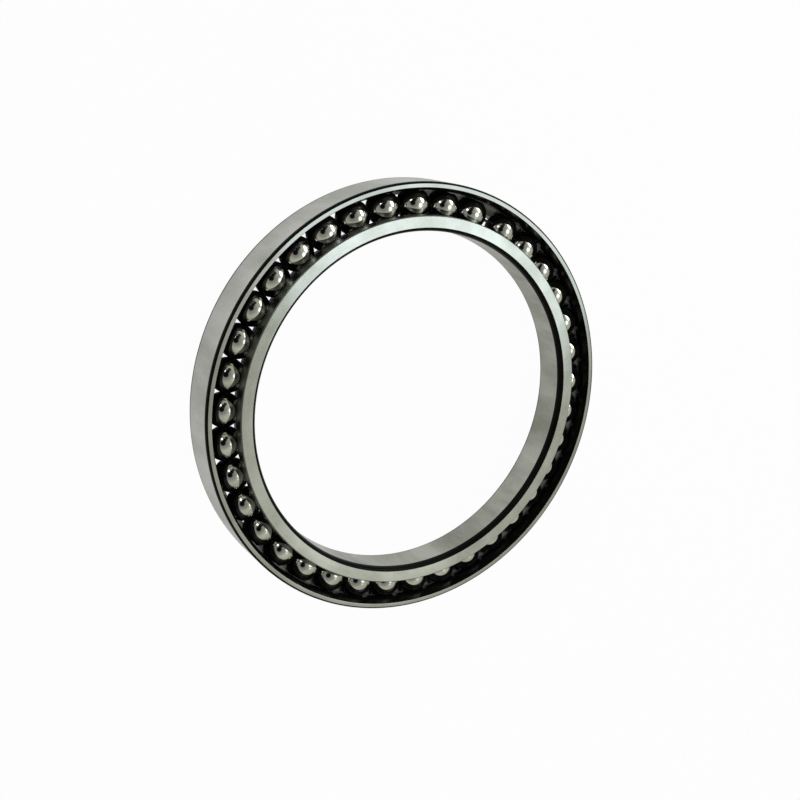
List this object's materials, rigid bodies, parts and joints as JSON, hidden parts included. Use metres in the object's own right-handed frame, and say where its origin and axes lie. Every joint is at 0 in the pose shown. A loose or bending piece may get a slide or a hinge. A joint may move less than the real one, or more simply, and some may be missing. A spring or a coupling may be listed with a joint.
{
  "type": "excavator travel bearing",
  "caption": "Thin-section angular contact ball bearing: two ground steel rings, polished balls and a black pressed steel chain cage, for the hub of a track drive.",
  "frame": {"origin": "centre of the bearing's axis at the back face of the outer ring, which it lies on", "axes": "+Z along the bearing's axis, from the outer ring's back face to the inner ring's proud front face; +X and +Y across, with the cage's welded joint about 62 degrees from +X"},
  "size_m": [0.28, 0.28, 0.0356],
  "materials": {
    "ground_steel": "ground satin bearing steel, near-black turned corners",
    "cage_steel": "black phosphated pressed steel, slight oily sheen",
    "polished_ball": "mirror-polished ball steel"
  },
  "bodies": {
    "outer_ring": {"outer_ring": "ground_steel"},
    "inner_ring": {"inner_ring": "ground_steel"},
    "cage": {"cage": "cage_steel"},
    "ball_01": {"ball_01": "polished_ball"},
    "ball_02": {"ball_02": "polished_ball"},
    "ball_03": {"ball_03": "polished_ball"},
    "ball_04": {"ball_04": "polished_ball"},
    "ball_05": {"ball_05": "polished_ball"},
    "ball_06": {"ball_06": "polished_ball"},
    "ball_07": {"ball_07": "polished_ball"},
    "ball_08": {"ball_08": "polished_ball"},
    "ball_09": {"ball_09": "polished_ball"},
    "ball_10": {"ball_10": "polished_ball"},
    "ball_11": {"ball_11": "polished_ball"},
    "ball_12": {"ball_12": "polished_ball"},
    "ball_13": {"ball_13": "polished_ball"},
    "ball_14": {"ball_14": "polished_ball"},
    "ball_15": {"ball_15": "polished_ball"},
    "ball_16": {"ball_16": "polished_ball"},
    "ball_17": {"ball_17": "polished_ball"},
    "ball_18": {"ball_18": "polished_ball"},
    "ball_19": {"ball_19": "polished_ball"},
    "ball_20": {"ball_20": "polished_ball"},
    "ball_21": {"ball_21": "polished_ball"},
    "ball_22": {"ball_22": "polished_ball"},
    "ball_23": {"ball_23": "polished_ball"},
    "ball_24": {"ball_24": "polished_ball"},
    "ball_25": {"ball_25": "polished_ball"},
    "ball_26": {"ball_26": "polished_ball"},
    "ball_27": {"ball_27": "polished_ball"},
    "ball_28": {"ball_28": "polished_ball"},
    "ball_29": {"ball_29": "polished_ball"},
    "ball_30": {"ball_30": "polished_ball"},
    "ball_31": {"ball_31": "polished_ball"},
    "ball_32": {"ball_32": "polished_ball"},
    "ball_33": {"ball_33": "polished_ball"},
    "ball_34": {"ball_34": "polished_ball"},
    "ball_35": {"ball_35": "polished_ball"},
    "ball_36": {"ball_36": "polished_ball"},
    "ball_37": {"ball_37": "polished_ball"}
  },
  "joints": [
    {"name": "inner_spin", "type": "hinge", "parent": "outer_ring", "child": "inner_ring", "pos_m": [0, 0, 0.0192], "axis": [0, 0, 1], "continuous": true},
    {"name": "cage_spin", "type": "hinge", "parent": "outer_ring", "child": "cage", "pos_m": [0, 0, 0.0192], "axis": [0, 0, 1], "continuous": true},
    {"name": "ball_01_roll", "type": "hinge", "parent": "cage", "child": "ball_01", "pos_m": [0.04581, 0.1163, 0.0192], "axis": [0.2356, 0.5981, 0.766], "continuous": true},
    {"name": "ball_02_roll", "type": "hinge", "parent": "cage", "child": "ball_02", "pos_m": [0.02565, 0.12234, 0.0192], "axis": [0.1319, 0.6291, 0.766], "continuous": true},
    {"name": "ball_03_roll", "type": "hinge", "parent": "cage", "child": "ball_03", "pos_m": [0.00475, 0.12491, 0.0192], "axis": [0.0244, 0.6423, 0.766], "continuous": true},
    {"name": "ball_04_roll", "type": "hinge", "parent": "cage", "child": "ball_04", "pos_m": [-0.01628, 0.12394, 0.0192], "axis": [-0.0837, 0.6373, 0.766], "continuous": true},
    {"name": "ball_05_roll", "type": "hinge", "parent": "cage", "child": "ball_05", "pos_m": [-0.03685, 0.11945, 0.0192], "axis": [-0.1895, 0.6142, 0.766], "continuous": true},
    {"name": "ball_06_roll", "type": "hinge", "parent": "cage", "child": "ball_06", "pos_m": [-0.05637, 0.11157, 0.0192], "axis": [-0.2899, 0.5737, 0.766], "continuous": true},
    {"name": "ball_07_roll", "type": "hinge", "parent": "cage", "child": "ball_07", "pos_m": [-0.07429, 0.10053, 0.0192], "axis": [-0.382, 0.5169, 0.766], "continuous": true},
    {"name": "ball_08_roll", "type": "hinge", "parent": "cage", "child": "ball_08", "pos_m": [-0.09011, 0.08663, 0.0192], "axis": [-0.4634, 0.4455, 0.766], "continuous": true},
    {"name": "ball_09_roll", "type": "hinge", "parent": "cage", "child": "ball_09", "pos_m": [-0.10337, 0.07028, 0.0192], "axis": [-0.5316, 0.3614, 0.766], "continuous": true},
    {"name": "ball_10_roll", "type": "hinge", "parent": "cage", "child": "ball_10", "pos_m": [-0.1137, 0.05194, 0.0192], "axis": [-0.5847, 0.2671, 0.766], "continuous": true},
    {"name": "ball_11_roll", "type": "hinge", "parent": "cage", "child": "ball_11", "pos_m": [-0.1208, 0.03212, 0.0192], "axis": [-0.6212, 0.1652, 0.766], "continuous": true},
    {"name": "ball_12_roll", "type": "hinge", "parent": "cage", "child": "ball_12", "pos_m": [-0.12448, 0.01139, 0.0192], "axis": [-0.6401, 0.0586, 0.766], "continuous": true},
    {"name": "ball_13_roll", "type": "hinge", "parent": "cage", "child": "ball_13", "pos_m": [-0.12463, -0.00966, 0.0192], "axis": [-0.6409, -0.0497, 0.766], "continuous": true},
    {"name": "ball_14_roll", "type": "hinge", "parent": "cage", "child": "ball_14", "pos_m": [-0.12124, -0.03044, 0.0192], "axis": [-0.6234, -0.1565, 0.766], "continuous": true},
    {"name": "ball_15_roll", "type": "hinge", "parent": "cage", "child": "ball_15", "pos_m": [-0.11441, -0.05035, 0.0192], "axis": [-0.5883, -0.2589, 0.766], "continuous": true},
    {"name": "ball_16_roll", "type": "hinge", "parent": "cage", "child": "ball_16", "pos_m": [-0.10434, -0.06884, 0.0192], "axis": [-0.5365, -0.354, 0.766], "continuous": true},
    {"name": "ball_17_roll", "type": "hinge", "parent": "cage", "child": "ball_17", "pos_m": [-0.0913, -0.08537, 0.0192], "axis": [-0.4695, -0.439, 0.766], "continuous": true},
    {"name": "ball_18_roll", "type": "hinge", "parent": "cage", "child": "ball_18", "pos_m": [-0.07568, -0.09949, 0.0192], "axis": [-0.3892, -0.5116, 0.766], "continuous": true},
    {"name": "ball_19_roll", "type": "hinge", "parent": "cage", "child": "ball_19", "pos_m": [-0.05791, -0.11078, 0.0192], "axis": [-0.2978, -0.5696, 0.766], "continuous": true},
    {"name": "ball_20_roll", "type": "hinge", "parent": "cage", "child": "ball_20", "pos_m": [-0.0385, -0.11892, 0.0192], "axis": [-0.198, -0.6115, 0.766], "continuous": true},
    {"name": "ball_21_roll", "type": "hinge", "parent": "cage", "child": "ball_21", "pos_m": [-0.018, -0.1237, 0.0192], "axis": [-0.0925, -0.6361, 0.766], "continuous": true},
    {"name": "ball_22_roll", "type": "hinge", "parent": "cage", "child": "ball_22", "pos_m": [0.00302, -0.12496, 0.0192], "axis": [0.0155, -0.6426, 0.766], "continuous": true},
    {"name": "ball_23_roll", "type": "hinge", "parent": "cage", "child": "ball_23", "pos_m": [0.02395, -0.12268, 0.0192], "axis": [0.1231, -0.6309, 0.766], "continuous": true},
    {"name": "ball_24_roll", "type": "hinge", "parent": "cage", "child": "ball_24", "pos_m": [0.0442, -0.11693, 0.0192], "axis": [0.2273, -0.6013, 0.766], "continuous": true},
    {"name": "ball_25_roll", "type": "hinge", "parent": "cage", "child": "ball_25", "pos_m": [0.06319, -0.10785, 0.0192], "axis": [0.3249, -0.5546, 0.766], "continuous": true},
    {"name": "ball_26_roll", "type": "hinge", "parent": "cage", "child": "ball_26", "pos_m": [0.08039, -0.09572, 0.0192], "axis": [0.4134, -0.4922, 0.766], "continuous": true},
    {"name": "ball_27_roll", "type": "hinge", "parent": "cage", "child": "ball_27", "pos_m": [0.09532, -0.08087, 0.0192], "axis": [0.4902, -0.4158, 0.766], "continuous": true},
    {"name": "ball_28_roll", "type": "hinge", "parent": "cage", "child": "ball_28", "pos_m": [0.10754, -0.06372, 0.0192], "axis": [0.553, -0.3277, 0.766], "continuous": true},
    {"name": "ball_29_roll", "type": "hinge", "parent": "cage", "child": "ball_29", "pos_m": [0.11671, -0.04477, 0.0192], "axis": [0.6001, -0.2302, 0.766], "continuous": true},
    {"name": "ball_30_roll", "type": "hinge", "parent": "cage", "child": "ball_30", "pos_m": [0.12256, -0.02455, 0.0192], "axis": [0.6303, -0.1263, 0.766], "continuous": true},
    {"name": "ball_31_roll", "type": "hinge", "parent": "cage", "child": "ball_31", "pos_m": [0.12495, -0.00364, 0.0192], "axis": [0.6425, -0.0187, 0.766], "continuous": true},
    {"name": "ball_32_roll", "type": "hinge", "parent": "cage", "child": "ball_32", "pos_m": [0.12379, 0.01738, 0.0192], "axis": [0.6365, 0.0894, 0.766], "continuous": true},
    {"name": "ball_33_roll", "type": "hinge", "parent": "cage", "child": "ball_33", "pos_m": [0.11911, 0.03791, 0.0192], "axis": [0.6125, 0.195, 0.766], "continuous": true},
    {"name": "ball_34_roll", "type": "hinge", "parent": "cage", "child": "ball_34", "pos_m": [0.11106, 0.05736, 0.0192], "axis": [0.5711, 0.295, 0.766], "continuous": true},
    {"name": "ball_35_roll", "type": "hinge", "parent": "cage", "child": "ball_35", "pos_m": [0.09986, 0.07519, 0.0192], "axis": [0.5135, 0.3866, 0.766], "continuous": true},
    {"name": "ball_36_roll", "type": "hinge", "parent": "cage", "child": "ball_36", "pos_m": [0.08582, 0.09088, 0.0192], "axis": [0.4413, 0.4673, 0.766], "continuous": true},
    {"name": "ball_37_roll", "type": "hinge", "parent": "cage", "child": "ball_37", "pos_m": [0.06936, 0.10399, 0.0192], "axis": [0.3566, 0.5348, 0.766], "continuous": true}
  ],
  "couplings": [
    {"joint": "cage_spin", "follows": "inner_spin", "ratio": 0.47081},
    {"joint": "ball_01_roll", "follows": "inner_spin", "ratio": -6.5393},
    {"joint": "ball_02_roll", "follows": "inner_spin", "ratio": -6.5393},
    {"joint": "ball_03_roll", "follows": "inner_spin", "ratio": -6.5393},
    {"joint": "ball_04_roll", "follows": "inner_spin", "ratio": -6.5393},
    {"joint": "ball_05_roll", "follows": "inner_spin", "ratio": -6.5393},
    {"joint": "ball_06_roll", "follows": "inner_spin", "ratio": -6.5393},
    {"joint": "ball_07_roll", "follows": "inner_spin", "ratio": -6.5393},
    {"joint": "ball_08_roll", "follows": "inner_spin", "ratio": -6.5393},
    {"joint": "ball_09_roll", "follows": "inner_spin", "ratio": -6.5393},
    {"joint": "ball_10_roll", "follows": "inner_spin", "ratio": -6.5393},
    {"joint": "ball_11_roll", "follows": "inner_spin", "ratio": -6.5393},
    {"joint": "ball_12_roll", "follows": "inner_spin", "ratio": -6.5393},
    {"joint": "ball_13_roll", "follows": "inner_spin", "ratio": -6.5393},
    {"joint": "ball_14_roll", "follows": "inner_spin", "ratio": -6.5393},
    {"joint": "ball_15_roll", "follows": "inner_spin", "ratio": -6.5393},
    {"joint": "ball_16_roll", "follows": "inner_spin", "ratio": -6.5393},
    {"joint": "ball_17_roll", "follows": "inner_spin", "ratio": -6.5393},
    {"joint": "ball_18_roll", "follows": "inner_spin", "ratio": -6.5393},
    {"joint": "ball_19_roll", "follows": "inner_spin", "ratio": -6.5393},
    {"joint": "ball_20_roll", "follows": "inner_spin", "ratio": -6.5393},
    {"joint": "ball_21_roll", "follows": "inner_spin", "ratio": -6.5393},
    {"joint": "ball_22_roll", "follows": "inner_spin", "ratio": -6.5393},
    {"joint": "ball_23_roll", "follows": "inner_spin", "ratio": -6.5393},
    {"joint": "ball_24_roll", "follows": "inner_spin", "ratio": -6.5393},
    {"joint": "ball_25_roll", "follows": "inner_spin", "ratio": -6.5393},
    {"joint": "ball_26_roll", "follows": "inner_spin", "ratio": -6.5393},
    {"joint": "ball_27_roll", "follows": "inner_spin", "ratio": -6.5393},
    {"joint": "ball_28_roll", "follows": "inner_spin", "ratio": -6.5393},
    {"joint": "ball_29_roll", "follows": "inner_spin", "ratio": -6.5393},
    {"joint": "ball_30_roll", "follows": "inner_spin", "ratio": -6.5393},
    {"joint": "ball_31_roll", "follows": "inner_spin", "ratio": -6.5393},
    {"joint": "ball_32_roll", "follows": "inner_spin", "ratio": -6.5393},
    {"joint": "ball_33_roll", "follows": "inner_spin", "ratio": -6.5393},
    {"joint": "ball_34_roll", "follows": "inner_spin", "ratio": -6.5393},
    {"joint": "ball_35_roll", "follows": "inner_spin", "ratio": -6.5393},
    {"joint": "ball_36_roll", "follows": "inner_spin", "ratio": -6.5393},
    {"joint": "ball_37_roll", "follows": "inner_spin", "ratio": -6.5393}
  ]
}
